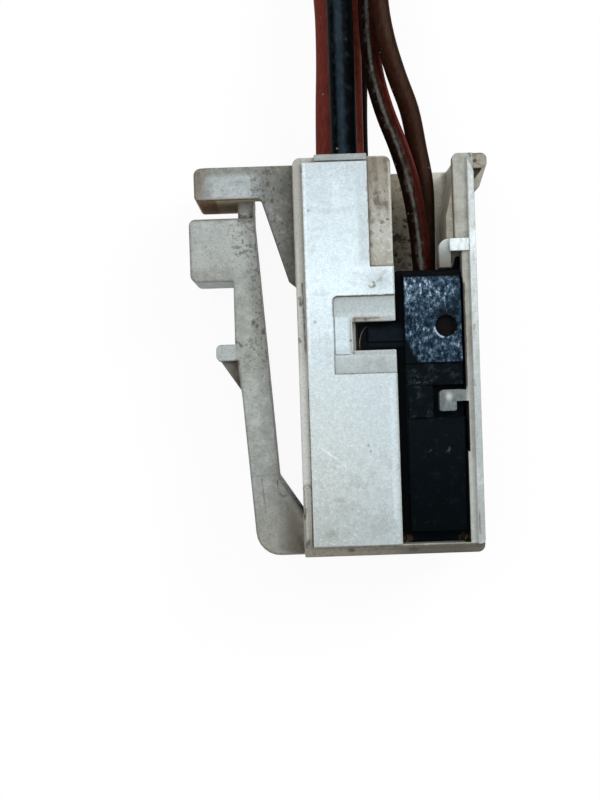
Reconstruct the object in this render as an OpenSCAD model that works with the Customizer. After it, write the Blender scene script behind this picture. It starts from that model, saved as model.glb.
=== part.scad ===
// Two-part wire connector: a pale moulded housing with a latch lever and finger guard,
// and a dark two-way insert that slides into a channel on its right.
// X runs across the front, Y from the mating face to the wires, Z from the rear face
// (which rests on the table) to the front face. Millimetres.

/* [Housing] */
// Length from the mating face to the lip at the wire end
housing_len = 33.6; // [32.6:0.2:36]
// Depth from the rear face to the front face
depth = 14; // [13.6:0.1:16]
// Width of the terminal block
block_w = 8.2; // [8:0.1:9.6]
// Width of the channel that takes the insert
channel_w = 5.7; // [5.6:0.1:6.4]
// Thickness of the side wall, beyond the channel
side_wall = 1.2; // [1.1:0.1:1.8]
// Thickness of the wall behind the channel
rear_wall = 2; // [1.6:0.1:2.2]
// Thickness of the wall across the mating end
end_wall = 0.85; // [0.7:0.05:1.1]
// Radius of the outer corners
corner_r = 0.6; // [0.3:0.1:0.8]

/* [Front face] */
// How far the raised panel and the side rib stand above the rest of the front
panel_rise = 0.4; // [0.2:0.05:0.6]
// Width of the low strip down the left of the panel
strip_w = 0.75; // [0.5:0.05:1]
// Width of the low pocket at the top right of the panel
relief_w = 2; // [1.6:0.1:2.4]
// Length of that pocket
relief_len = 9.3; // [8:0.1:10]
// Width of the frame round the key notch
frame_w = 5.2; // [4.8:0.1:5.6]
// Length of the frame round the key notch
frame_len = 6.5; // [6:0.1:7]
// Length of the notch along the block
notch_len = 2.4; // [2.2:0.1:2.8]
// How far the notch reaches into the block from the channel
notch_w = 3.35; // [3:0.05:3.6]
// Depth of the notch below the front
notch_depth = 2.1; // [1.9:0.1:2.2]

/* [Guard and lever] */
// Reach of the lever's press pad from the side of the block
lever_reach = 9; // [8.6:0.1:10]
// Reach of the finger guard from the side of the block
guard_reach = 8.4; // [8:0.1:8.6]
// Height of the guard, along the housing
guard_h = 2.8; // [2.2:0.1:3.2]
// Length of the press pad, along the housing
pad_len = 5.4; // [4.8:0.1:6]
// Clear gap between the press pad and the guard
pad_gap = 1.4; // [1:0.1:1.8]
// Set-back of the guard from the front and rear faces
guard_inset = 2; // [1.6:0.1:2.4]
// Set-back of the lever from the front and rear faces
lever_inset = 3; // [2.6:0.1:3.4]
// Thickness of the web that carries the guard
web_t = 1.5; // [1.2:0.1:2]
// How far the catch stands out from the lever
catch_reach = 1.7; // [1.2:0.1:2]

/* [Ear and rails] */
// How far the ear stands out from the side wall
ear_reach = 1.2; // [0.9:0.1:1.5]
// Length of the ear, along the housing
ear_len = 3; // [2.6:0.1:3.6]
// Length of each rail's arm across the channel
rail_reach = 1.9; // [1.7:0.05:2.2]
// Thickness of the rails, front to back
rail_t = 1.3; // [1:0.05:1.4]

/* [Insert] */
// Length of the insert
insert_len = 22.9; // [22.5:0.1:23.3]
// Clearance between the insert and the walls beside it
insert_gap = 0.06; // [0.04:0.01:0.12]
// Length of the textured panel on the insert
texture_len = 7.3; // [6.8:0.1:7.6]
// Width of the key that enters the notch, along the housing
key_w = 1.35; // [1.1:0.05:1.6]
// Diameter of the round recess in the textured panel
recess_d = 1.8; // [1.4:0.1:2.2]

/* [Contacts] */
// Width and height of a terminal cavity
cavity_w = 2.5; // [2.5:0.05:2.6]
// Width and height of the power terminal's cavity
power_cavity_w = 2.9; // [2.9:0.05:3]
// Sheet thickness of the contacts
sheet_t = 0.25; // [0.2:0.05:0.3]
// Length of a contact's box
box_len = 8; // [7:0.5:9]
// Length of a contact's conductor crimp
crimp_len = 2.6; // [2:0.2:3]
// Length of a contact's insulation grip
grip_len = 2.4; // [2:0.2:3]

/* [Wires] */
// Outer diameter of the thick wire
thick_d = 2.25; // [2:0.05:2.3]
// Outer diameter of the two middle wires
middle_d = 1.9; // [1.7:0.05:1.9]
// Outer diameter of the three thin wires
thin_d = 1.7; // [1.5:0.05:1.7]
// Diameter of the copper core, as a share of the wire's
core_share = 0.55; // [0.45:0.05:0.6]

/* [Hidden] */
$fn = 48;
eps = 0.01;      // small overlap that makes a cut clean
join = 0.3;      // overlap that fuses one moulded feature to the next
arc_steps = 6;   // straight runs in a rounded corner

// Datums across the object, from the press pad to the ear
total_w = lever_reach + block_w + channel_w + side_wall + ear_reach;
x_block = lever_reach - total_w / 2;
x_channel = x_block + block_w;
x_wall = x_channel + channel_w;
x_side = x_wall + side_wall;
y_mate = -housing_len / 2;
lip_rise = 0.2;
rim = housing_len - lip_rise;     // wire end of the housing, from the mating face
base_z = depth - panel_rise;      // level of the low parts of the front

// Places below are measured from the block's left side and from the mating face
chan = block_w;
wall = chan + channel_w;
side = wall + side_wall;
frame_y = 15.2;                   // mating-side edge of the notch frame
notch_y = frame_y + 1.95;
rib_w = side_wall / 2;            // bright rib along the side wall
flange_w = 0.55;                  // ledge at the front of the channel's wire end
relief_y = rim - relief_len;
stop_t = 1;                       // wall that a contact's nose meets

// Lever and guard
guard_y = rim - 0.35 - guard_h;
pad_y = guard_y - pad_gap - pad_len;
catch_y = 16.7;
catch_h = 1.4;
gap_x = -guard_reach + 4.95;      // face of the post and the guard's head, beside the gap
post_w = 1.33;                    // width of the post that joins lever and guard
post_drop = 0.4;                  // set-back of the post behind the lever's front

// Insert, from the block's left side and the mating face
ins_x0 = chan + insert_gap;
ins_x1 = wall - insert_gap;
ins_y0 = end_wall + 0.05;
ins_y1 = ins_y0 + insert_len;
ins_front = depth - 0.8;          // smooth front of the insert
ins_step = ins_front - 1;         // set-back strip along its left and its rim
ins_face_x = ins_x0 + 0.65;
texture_y = ins_y1 - 0.6 - texture_len;
pocket_y = 11.35;
pocket_len = 2.7;
pocket_w = 2.6;

// Rails, from the mating face
low_rail_y = pocket_y + 0.5;
top_rail_y = ins_y1 + 0.05;
rail_h = 1.05;                    // height of an arm, along the housing
rail_leg_w = 1;
low_leg_w = 1.45;

// Rows and columns of cavities, from the block's left side and the rear face
column_pitch = cavity_w + 0.4;
left_col = block_w / 2 + 0.1 - column_pitch / 2;
right_col = left_col + column_pitch;
power_col = block_w / 2 + 0.4;
rear_row = rear_wall + cavity_w / 2;
power_row = depth - notch_depth - 0.35 - power_cavity_w / 2;
middle_row = (rear_row + cavity_w / 2 + power_row - power_cavity_w / 2) / 2;
block_cavities = [[left_col, rear_row, cavity_w], [right_col, rear_row, cavity_w],
                  [left_col, middle_row, cavity_w], [right_col, middle_row, cavity_w],
                  [power_col, power_row, power_cavity_w]];
insert_col = (ins_x0 + ins_x1) / 2;
insert_low = rear_wall + 0.75 + cavity_w / 2;
insert_pitch = (ins_step - 0.35 - cavity_w / 2 - insert_low) / 2;
insert_cavities = [for (i = [0:2]) [insert_col, insert_low + insert_pitch * i, cavity_w]];
opening_share = 0.62;             // mating opening, as a share of its cavity
lead_in = 0.25;                   // step that opens its mouth

// Contacts, from the mating face
contact_y = end_wall + stop_t;
crimp_y = contact_y + box_len + 1;
grip_y = crimp_y + crimp_len + 0.6;
wire_y = grip_y - 0.3;            // the insulation is stripped to here
grip_t = 0.22;                    // wall of the insulation grip
play = 0.1;                       // room between a contact and its cavity

// Wires. Each point of a route is [shift sideways from the cavity's centre, run past the
// housing's wire end, height above the table as a share of the cavity's height].
wires = [
    // name, diameter, cavity, colour, route
    ["black", thick_d, block_cavities[4], "#10151a",
     [[0, -2, 1], [0, 5, 1], [0, 10, 0.99], [0, 14, 0.95], [-0.1, 18, 0.86], [-0.4, 22, 0.71],
      [-0.7, 26, 0.52], [-0.9, 30, 0.33], [-1.1, 34, 0.17], [-1.2, 38, 0.06], [-1.2, 43, 0],
      [-1.2, 49, 0], [-1.1, 55, 0], [-1, 61, 0]]],
    ["red_left", middle_d, block_cavities[2], "#6a2e28",
     [[0.25, -2, 1], [0.4, 5, 1], [0.6, 10, 0.99], [0.6, 14, 0.93], [0.3, 18, 0.82], [-0.2, 22, 0.65],
      [-0.8, 26, 0.45], [-1.3, 30, 0.26], [-1.6, 34, 0.12], [-1.8, 38, 0.03], [-1.9, 43, 0],
      [-1.9, 49, 0], [-2, 54, 0], [-2.1, 59, 0]]],
    ["red_right", middle_d, block_cavities[3], "#6a2e28",
     [[-0.25, -2, 1], [-0.25, 5, 1], [-0.2, 10, 0.99], [-0.1, 14, 0.93], [-0.1, 18, 0.82],
      [0, 22, 0.65], [0, 26, 0.45], [0, 30, 0.26], [0, 34, 0.12], [0, 38, 0.03], [0, 43, 0],
      [0, 49, 0], [0.1, 55, 0], [0.1, 62, 0]]],
    ["dark_brown", thin_d, block_cavities[1], "#33231b",
     [[0.35, -2, 1], [0.4, 5, 1], [0.6, 10, 0.98], [0.8, 14, 0.91], [0.9, 18, 0.79], [1.1, 22, 0.61],
      [1.4, 26, 0.4], [1.6, 30, 0.2], [1.8, 34, 0.06], [1.9, 38, 0], [2, 43, 0], [2.1, 48, 0],
      [2.1, 53, 0], [2.1, 58, 0]]],
    ["striped", thin_d, insert_cavities[2], "#2a1d18",
     [[-0.2, -9.2, 1], [-0.7, -4, 1], [-1.1, -1.8, 1], [-1.85, 1, 0.97], [-3, 4.5, 0.9],
      [-3.7, 7.6, 0.83], [-4, 11, 0.79], [-4, 15, 0.72], [-3.6, 19.5, 0.57], [-2.8, 24.5, 0.36],
      [-2, 29.5, 0.17], [-1.4, 35, 0.04], [-1.2, 41, 0], [-1.2, 60, 0]]],
    ["brown", thin_d, insert_cavities[1], "#3a2519",
     [[0.3, -9.2, 1], [0.4, -5, 1], [0.35, -1.4, 1.02], [-0.1, 1.2, 1.08], [-0.8, 4.6, 1.25],
      [-1.85, 7.4, 1.4], [-2.75, 10.5, 1.48], [-3.2, 14, 1.45], [-2.9, 18, 1.32], [-2, 22.5, 1.04],
      [-0.8, 27.5, 0.65], [0.1, 32.5, 0.32], [0.6, 37.5, 0.1], [0.8, 43, 0], [0.8, 60.5, 0]]],
];
wire_sides = 8;

function unit(v) = v / norm(v);

// One corner of an outline, [x, y, radius], between its neighbours
function corner(p, c, n) =
    let (here = [c[0], c[1]], a = unit([p[0], p[1]] - here), b = unit([n[0], n[1]] - here),
         half = acos(a * b) / 2, mid = here + unit(a + b) * c[2] / sin(half),
         s = here + a * c[2] / tan(half) - mid, e = here + b * c[2] / tan(half) - mid,
         a0 = atan2(s[1], s[0]), turn = (atan2(e[1], e[0]) - a0 + 540) % 360 - 180)
    c[2] == 0 ? [here]
              : [for (i = [0:arc_steps])
                    mid + c[2] * [cos(a0 + turn * i / arc_steps), sin(a0 + turn * i / arc_steps)]];

function rounded(pts) =
    let (n = len(pts)) [for (i = [0:n - 1]) each corner(pts[(i + n - 1) % n], pts[i], pts[(i + 1) % n])];

// A prism between two heights, from corners given as [x, y, radius]
module slab(pts, z0, z1) {
    translate([0, 0, z0]) linear_extrude(z1 - z0) polygon(rounded(pts));
}

// A square-cornered slab
module bar(x0, x1, y0, y1, z0, z1) {
    translate([x0, y0, z0]) cube([x1 - x0, y1 - y0, z1 - z0]);
}

// A slab with all four corners rounded alike
module pad(x0, x1, y0, y1, r, z0, z1) {
    slab([[x0, y0, r], [x1, y0, r], [x1, y1, r], [x0, y1, r]], z0, z1);
}

// Puts its children in the place measured from the block's left side and the mating face
module on_block() {
    translate([x_block, y_mate, 0]) children();
}

module block() {
    slab([[0, 0, 0], [block_w + join, 0, 0], [block_w + join, end_wall, 0], [block_w, end_wall, 0],
          [block_w, rim, corner_r], [0, rim, corner_r]], 0, base_z);
    // Raised panel, which steps round the relief at its top right
    slab([[strip_w, end_wall, 0], [block_w, end_wall, 0], [block_w, relief_y, 0],
          [block_w - relief_w, relief_y, 0], [block_w - relief_w, rim - 0.45, 0],
          [strip_w, rim - 0.45, 0.1]], base_z - join, depth);
    // Lip over the wire openings
    bar(1.8, block_w - relief_w, rim - 0.35, housing_len, depth - notch_depth, depth - 0.1);
    // Low tongue on the left strip
    slab([[0.15, end_wall, 0], [strip_w, end_wall, 0], [strip_w, 5.8, 0.25], [0.15, 5.8, 0.3]],
         base_z - join, base_z + 0.15);
}

// What is cut from the front of the block round the notch
module notch_cut() {
    difference() {
        slab([[block_w - frame_w, frame_y, 0], [block_w + 1, frame_y, 0],
              [block_w + 1, frame_y + frame_len, 0], [block_w - frame_w, frame_y + frame_len, 0.35]],
             depth - panel_rise * 0.6, depth + 1);
        bar(block_w - frame_w + 0.1, block_w - notch_w - 0.45, notch_y - 0.3, notch_y + notch_len + 0.5,
            depth - join * 2, depth - 0.1);
    }
    bar(block_w - notch_w, block_w + 1, notch_y, notch_y + notch_len, depth - notch_depth, depth + 1);
    // Bevel down into the notch
    translate([block_w - notch_w, notch_y + notch_len, depth - 0.85])
        rotate([90, 0, 0]) linear_extrude(notch_len) polygon([[0.2, -0.4], [0.2, 1], [-0.5, 1]]);
}

module channel_walls() {
    // Rear wall and the wall across the mating end
    slab([[block_w - corner_r, 0, 0], [side, 0, corner_r], [side, rim, 0], [block_w - corner_r, rim, 0]],
         0, rear_wall);
    slab([[block_w - join, 0, 0], [side, 0, corner_r], [side, end_wall, 0], [block_w - join, end_wall, 0]],
         0, base_z);
    difference() {
        slab([[wall, 0, 0], [side, 0, corner_r], [side, rim, 0], [wall, rim, 0]], 0, base_z);
        // Shallow relief on the inside, below the low rail
        bar(wall - 1, wall + 0.2, low_rail_y - 3.4, low_rail_y + 0.8, rear_wall, depth);
    }
    // Guide that narrows towards the insert, behind a ledge at the front
    slab([[wall - 0.95, ins_y1 + 0.2, 0], [wall + join, ins_y1 + 0.2, 0], [wall + join, rim, 0],
          [wall + 0.25, rim, 0], [wall - 0.95, rim - 5, 0]], rear_wall - join, ins_step - 1.4);
    slab([[wall - flange_w, top_rail_y + 1.5, 0], [wall + join, top_rail_y + 1.5, 0],
          [wall + join, rim, 0], [wall - flange_w, rim, flange_w - 0.05]], base_z - 1.2, base_z);
    // Bright rib up the edge of the side wall
    slab([[side - rib_w, 0.7, 0], [side, 0.7, 0.4], [side, rim - 1.6, 0],
          [side - rib_w + 0.05, rim - 0.35, 0]], base_z - join, depth);
}

module rails() {
    // Upper rail, over the insert's wire end
    slab([[wall - rail_reach, top_rail_y, 0.1], [wall - rail_reach + rail_leg_w, top_rail_y, 0.1],
          [wall - rail_reach + rail_leg_w, top_rail_y + 1.35, 0],
          [side - rib_w + eps, top_rail_y + 1.35, 0], [side - rib_w + eps, top_rail_y + 1.35 + rail_h, 0],
          [wall - rail_reach, top_rail_y + 1.35 + rail_h, 0.8]], base_z - rail_t - 0.5, base_z);
    bar(wall - rail_reach + rail_leg_w - 0.1, side - rib_w + eps,
        top_rail_y + 1.35, top_rail_y + 1.35 + rail_h, base_z - join, depth);
    // Lower rail, which hooks into the insert's pocket
    slab([[wall - rail_reach - 0.35, low_rail_y, 0.2],
          [wall - rail_reach - 0.35 + low_leg_w, low_rail_y, 0.2],
          [wall - rail_reach - 0.35 + low_leg_w, low_rail_y + 0.8, 0.05], [wall + join, low_rail_y + 0.8, 0],
          [wall + join, low_rail_y + 0.8 + rail_h - 0.05, 0],
          [wall - rail_reach - 0.35, low_rail_y + 0.8 + rail_h - 0.05, 0.4]], base_z - rail_t, base_z);
}

module ear() {
    difference() {
        slab([[side - rib_w, rim, 0], [side + ear_reach, rim, 0.5], [side + ear_reach, rim - 0.9, 0.2],
              [side + ear_reach - 0.75, rim - ear_len, 0.35], [side - rib_w, rim - ear_len, 0]],
             rear_wall, depth - 0.7);
        slab([[side - 0.05, rim - 1.3, 0.1], [side + 0.85, rim - 1.25, 0.1], [side, rim - 2.3, 0.1]],
             depth - 1.4, depth);
    }
}

module guard() {
    // Head over the lever
    slab([[-guard_reach, guard_y, 0.4], [gap_x, guard_y, 0], [gap_x, guard_y + guard_h, 0],
          [-guard_reach, guard_y + guard_h, 0.6]], guard_inset, depth - guard_inset);
    // Web and its gusset down the side of the block
    slab([[-guard_reach + 1, guard_y, 0], [-2.75, guard_y, 0.25], [-0.6, guard_y - 7, 0.4],
          [0, guard_y - 7.5, 0], [join, guard_y - 7.5, 0], [join, guard_y + guard_h, 0],
          [-guard_reach + 1, guard_y + guard_h, 0]],
         depth - guard_inset - web_t, depth - guard_inset);
}

module lever() {
    slab([[join, 0, 0], [join, 3.6, 0], [0, 3.6, 0], [-1.97, 6.6, 0.3], [gap_x, pad_y + pad_len, 0],
          [-lever_reach, pad_y + pad_len, 0.55], [-lever_reach, pad_y, 0.65], [-5.34, pad_y, 0.15],
          [-5.37, catch_y + catch_h, 0], [-4.9, catch_y - 3.2, 0.3], [-3.95, 0, 2.1]],
         lever_inset, depth - lever_inset);
    // Post that joins the lever to the guard
    bar(gap_x - post_w, gap_x, pad_y + pad_len - join, guard_y + join,
        lever_inset, depth - lever_inset - post_drop);
    // Catch and the ramp that leads it in
    tip = -5.3 - catch_reach;
    slab([[-4.7, catch_y, 0], [-4.7, catch_y + catch_h, 0], [tip, catch_y + catch_h, 0.45],
          [tip, catch_y + 0.3, 0], [tip + 0.2, catch_y, 0]], lever_inset, depth - lever_inset);
    slab([[tip + 0.3, catch_y, 0], [tip + 0.3, catch_y + join, 0], [-4.7, catch_y + join, 0],
          [-4.7, catch_y - 3, 0]], lever_inset + 1.5, depth - lever_inset - 1.5);
}

// The wide part of a cavity, [x, z, width], which runs out past the wire end
module cavity(c) {
    bar(c[0] - c[2] / 2, c[0] + c[2] / 2, contact_y, housing_len + 1, c[1] - c[2] / 2, c[1] + c[2] / 2);
}

// Its narrower opening at the mating end, with a stepped mouth
module mating_opening(c) {
    r = c[2] * opening_share / 2;
    m = r + lead_in;
    bar(c[0] - r, c[0] + r, -1, contact_y + eps, c[1] - r, c[1] + r);
    bar(c[0] - m, c[0] + m, -1, 0.3, c[1] - m, c[1] + m);
}

module housing() {
    color("#dfe6e6") on_block() difference() {
        union() {
            block();
            channel_walls();
            rails();
            ear();
            guard();
            lever();
        }
        notch_cut();
        // Relief at the top right of the block's front
        bar(block_w - relief_w, block_w + 1, relief_y, rim + 1, base_z - 0.15, depth + 1);
        for (c = block_cavities) cavity(c);
        for (c = concat(block_cavities, insert_cavities)) mating_opening(c);
    }
}

module insert_body() {
    difference() {
        slab([[ins_x0, ins_y0, 0.35], [ins_x1, ins_y0, 0.35], [ins_x1, ins_y1, 0.3], [ins_x0, ins_y1, 0.4]],
             rear_wall, ins_step);
        for (c = insert_cavities) {
            cavity(c);
            mating_opening(c);
        }
    }
}

module insert_front() {
    difference() {
        union() {
            // Rim, smooth panels and the raised land beside the pocket
            slab([[ins_face_x, ins_y0 + 0.8, 0], [ins_x1, ins_y0 + 0.8, 0], [ins_x1, ins_y1 - 0.1, 0.3],
                  [ins_face_x, ins_y1 - 0.1, 0.3]], ins_step - join, ins_front - 0.2);
            pad(ins_face_x + 0.1, ins_x1 - 0.1, ins_y0 + 0.9, pocket_y - 0.1, 0.1, ins_step, ins_front);
            pad(ins_face_x + 0.1, ins_x1 - 0.1, pocket_y + pocket_len, texture_y + join, 0.1,
                ins_step, ins_front);
            pad(ins_face_x + 0.15, ins_x1 - pocket_w - 0.1, pocket_y, pocket_y + pocket_len, 0.1,
                ins_step, ins_front + 0.1);
            // Textured panel
            pad(ins_face_x, ins_x1 - 0.1, texture_y, texture_y + texture_len, 0.15,
                ins_step, ins_front + 0.25);
        }
        bar(ins_x1 - pocket_w, ins_x1 + 1, pocket_y, pocket_y + pocket_len, ins_step, depth + 1);
        translate([ins_x1 - 1.4, texture_y + 3.1, ins_front - 0.5]) cylinder(d = recess_d, h = 2);
    }
}

module insert() {
    color("#0c1218") on_block() {
        insert_body();
        insert_front();
        // Key, which enters the notch in the block
        pad(block_w - notch_w + 1, ins_face_x + 0.2, notch_y + 0.7, notch_y + 0.7 + key_w, 0.2,
            depth - notch_depth + 0.1, ins_front - 0.3);
        // Foot of the key, which fills the floor of the notch
        pad(block_w - notch_w + 0.25, ins_face_x + 0.2, notch_y + 0.1, notch_y + notch_len - 0.1, 0.3,
            depth - notch_depth + 0.1, depth - notch_depth + 0.7);
        // Upright lip beside the upper rail
        slab([[wall - rail_reach + rail_leg_w + 0.12, ins_y1 - join, 0], [ins_x1, ins_y1 - join, 0],
              [ins_x1, ins_y1 + 1.1, 0], [ins_x1 - 0.25, ins_y1 + 1.1, 0]], ins_step - 1, ins_step);
    }
}

// A crimp contact for wire w, with its box open towards the mating face
module contact(w) {
    c = w[2];
    wire_r = w[1] / 2;
    half_w = c[2] / 2 - play;
    floor_z = c[1] - c[2] / 2;
    top_z = c[1] + c[2] / 2 - play;
    color("#b9b4a6") on_block() {
        difference() {
            bar(c[0] - half_w, c[0] + half_w, contact_y, contact_y + box_len, floor_z, top_z);
            bar(c[0] - half_w + sheet_t, c[0] + half_w - sheet_t,
                contact_y - 1, contact_y + box_len - sheet_t, floor_z + sheet_t, top_z - sheet_t);
        }
        // Floor strip that joins the box to its crimps
        bar(c[0] - 0.5, c[0] + 0.5, contact_y + box_len - eps, grip_y + grip_len,
            floor_z, c[1] - wire_r - grip_t / 2);
        // Conductor crimp
        difference() {
            bar(c[0] - 0.75, c[0] + 0.75, crimp_y, crimp_y + crimp_len, floor_z, c[1] + wire_r * 0.8);
            along_wire(c, crimp_y - 1) cylinder(r = wire_r * core_share, h = crimp_len + 2);
        }
        // Insulation grip
        difference() {
            along_wire(c, grip_y) cylinder(r = wire_r + grip_t, h = grip_len);
            along_wire(c, grip_y - 1) cylinder(r = wire_r, h = grip_len + 2);
        }
    }
}

// Turns its children to run along Y from y, at the centre of cavity c
module along_wire(c, y) {
    translate([c[0], y, c[1]]) rotate([-90, 0, 0]) children();
}

// The steel leaf inside wire w's contact, against the ceiling of its box
module spring(w) {
    c = w[2];
    color("#8e9296") on_block()
        translate([c[0] - 0.5, contact_y + 0.6, c[1] + c[2] / 2 - play - sheet_t])
            rotate([90, 0, 90]) linear_extrude(1)
                polygon([[0, 0], [6, 0], [6, -0.15], [5.4, -0.15], [3, -0.85], [0.6, -0.15], [0, -0.15]]);
}

// The bared copper of wire w, between its crimp and its insulation
module core(w) {
    color("#b0704a") on_block() along_wire(w[2], crimp_y - 0.4)
        cylinder(r = w[1] / 2 * core_share, h = wire_y - crimp_y + 0.4);
}

// One ring of a tube of radius r, square to the route at point i
function ring(route, i, r) =
    let (t = unit(route[min(i + 1, len(route) - 1)] - route[max(i - 1, 0)]),
         s = unit(cross(t, [0, 0, 1])), u = cross(s, t))
    [for (k = [0:wire_sides - 1]) let (q = k * 360 / wire_sides) route[i] + r * (cos(q) * s + sin(q) * u)];

// The insulated wire w, from its stripped end to its cut end
module wire(w) {
    c = w[2];
    r = w[1] / 2;
    n = wire_sides;
    route = concat([[c[0], wire_y, c[1]]],
                   [for (p = w[4]) [c[0] + p[0], rim + p[1], r + (c[1] - r) * p[2]]]);
    last = n * (len(route) - 1);
    color(w[3]) on_block() polyhedron(
        points = [for (i = [0:len(route) - 1]) each ring(route, i, r)],
        faces = concat([[for (k = [0:n - 1]) k]], [[for (k = [n - 1:-1:0]) last + k]],
                       [for (i = [0:len(route) - 2], k = [0:n - 1], side = [0, 1])
                           let (a = i * n + k, b = i * n + (k + 1) % n)
                           side == 0 ? [a, a + n, b + n] : [a, b + n, b]]));
}

housing();
insert();
for (w = wires) {
    contact(w);
    spring(w);
    core(w);
    wire(w);
}
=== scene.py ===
"""Looks for the two-part wire connector: worn mouldings, six cut wires and a plain studio.

Places on the mouldings are measured as in the part's source, in millimetres: x from the block's
left side, y from the mating face and z from the rear face.
"""
import math
import random

import bmesh
import bpy
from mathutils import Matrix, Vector


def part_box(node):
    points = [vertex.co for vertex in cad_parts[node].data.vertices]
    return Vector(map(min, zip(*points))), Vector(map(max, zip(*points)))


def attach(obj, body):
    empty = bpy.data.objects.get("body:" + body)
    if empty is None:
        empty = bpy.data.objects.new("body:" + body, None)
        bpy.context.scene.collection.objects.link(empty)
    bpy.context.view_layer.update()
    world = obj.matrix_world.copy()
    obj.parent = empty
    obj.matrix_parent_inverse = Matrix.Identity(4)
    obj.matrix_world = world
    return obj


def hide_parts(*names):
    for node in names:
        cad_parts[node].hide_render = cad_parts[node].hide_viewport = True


MM = 0.001

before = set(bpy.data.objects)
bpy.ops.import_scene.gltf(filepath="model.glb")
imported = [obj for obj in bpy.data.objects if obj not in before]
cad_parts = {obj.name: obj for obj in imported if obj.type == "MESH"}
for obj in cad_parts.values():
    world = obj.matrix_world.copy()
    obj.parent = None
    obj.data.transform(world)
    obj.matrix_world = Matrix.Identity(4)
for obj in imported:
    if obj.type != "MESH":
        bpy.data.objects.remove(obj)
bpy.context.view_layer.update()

HOUSING_LOW, HOUSING_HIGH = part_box("housing")
MATING_Y = HOUSING_LOW.y
FRONT_Z = HOUSING_HIGH.z
BLOCK_X = HOUSING_LOW.x + 9 * MM          # left side of the terminal block
RIM_Y = HOUSING_HIGH.y - 0.2 * MM         # wire end of the housing


def add_object(name, data):
    thing = bpy.data.objects.new(name, data)
    bpy.context.collection.objects.link(thing)
    return thing


def as_mesh(name, bm):
    mesh = bpy.data.meshes.new(name)
    bm.to_mesh(mesh)
    bm.free()
    return mesh


# ---- camera

CAMERA_HEIGHT = 135 * MM    # above the front face
CAMERA_ALONG = 13.18 * MM   # from the mating face
CAMERA_TURN = -1.9          # degrees about the line of sight
CAMERA_LENS = 72.9
CAMERA_SENSOR = 36


def add_camera():
    data = bpy.data.cameras.new("camera")
    data.sensor_width = CAMERA_SENSOR
    data.lens = CAMERA_LENS
    data.clip_start = 5 * MM
    camera = add_object("camera", data)
    camera.location = (BLOCK_X, MATING_Y + CAMERA_ALONG, FRONT_Z + CAMERA_HEIGHT)
    camera.rotation_euler = (0, 0, math.radians(CAMERA_TURN))
    bpy.context.scene.camera = camera


# ---- tubes

def new_piece(name, bm):
    """Turns a bmesh into a piece that rides with the object."""
    bmesh.ops.recalc_face_normals(bm, faces=bm.faces)
    for face in bm.faces:
        face.smooth = True
    piece = add_object(name, as_mesh(name, bm))
    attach(piece, "root")
    return piece


def smooth_path(route, gap, lowest):
    """Points about a gap apart on a smooth curve through a route, none of them below lowest."""
    ends = [2 * route[0] - route[1]] + route + [2 * route[-1] - route[-2]]
    runs = [(b - a).length for a, b in zip(ends, ends[1:])]
    slopes = [((b - a) / run * after + (c - b) / after * run) / (run + after)
              for a, b, c, run, after in zip(ends, ends[1:], ends[2:], runs, runs[1:])]
    path = []
    for a, b, run, slope, next_slope in zip(route, route[1:], runs[1:], slopes, slopes[1:]):
        steps = max(1, round(run / gap))
        for t in (step / steps for step in range(steps)):
            path.append(a * (2 * t ** 3 - 3 * t ** 2 + 1) + b * (3 * t ** 2 - 2 * t ** 3)
                        + slope * run * (t ** 3 - 2 * t ** 2 + t) + next_slope * run * (t ** 3 - t ** 2))
    path.append(route[-1].copy())
    for place in path:
        place.z = max(place.z, lowest)
    return path


def tube_rings(path, radius, rounding):
    """(place, axis, radius) of each ring of a tube whose ends are rounded off."""
    rings = []
    for i, place in enumerate(path):
        axis = (path[min(i + 1, len(path) - 1)] - path[max(i - 1, 0)]).normalized()
        if 0 < i < len(path) - 1:
            rings.append((place, axis, radius))
            continue
        inward = axis if i == 0 else -axis
        turns = [math.radians(degrees) for degrees in (90, 60, 30, 0)]
        corner = [(place + inward * rounding * (1 - math.sin(turn)), axis,
                   radius - rounding * (1 - math.cos(turn))) for turn in turns]
        rings += corner if i == 0 else corner[::-1]
    return rings


def add_tube(bm, rings, sides):
    """Adds a closed tube. Its UV map runs 0 to 1 round it from its right, and in mm along it."""
    uv = bm.loops.layers.uv.verify()
    hoops, along = [], [0.0]
    for i, (place, axis, radius) in enumerate(rings):
        if i:
            along.append(along[-1] + (place - rings[i - 1][0]).length / MM)
        right = axis.cross(Vector((0, 0, 1))).normalized()
        up = right.cross(axis)
        hoops.append([bm.verts.new(place + radius * (math.cos(angle) * right + math.sin(angle) * up))
                      for angle in (2 * math.pi * j / sides for j in range(sides))])
    for i, (hoop, following) in enumerate(zip(hoops, hoops[1:])):
        for j in range(sides):
            k = (j + 1) % sides
            face = bm.faces.new((hoop[j], hoop[k], following[k], following[j]))
            for loop, u, v in zip(face.loops, (j, j + 1, j + 1, j), (i, i, i + 1, i + 1)):
                loop[uv].uv = (u / sides, along[v])
    bm.faces.new(hoops[0])
    bm.faces.new(hoops[-1])


# ---- wires

WIRE_GAP = 0.7 * MM         # between the rings of a wire
WIRE_SIDES = 32
CUT_ROUNDING = 0.15 * MM    # where the insulation was cut
STRANDS_ACROSS = 5          # the core's width
STRAND_FILL = 0.97          # share of its room that a strand takes
STRAND_ROUNDING = 0.4       # share of its radius, at its ends
STRAND_SIDES = 8
STRAND_IN = 0.5 * MM        # how far a strand reaches into the cut end
STRAND_OUT = 0.18 * MM      # how far the longest ones stand out of it
SHORTEST_STRAND = 0.6       # share of that for the shortest

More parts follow.
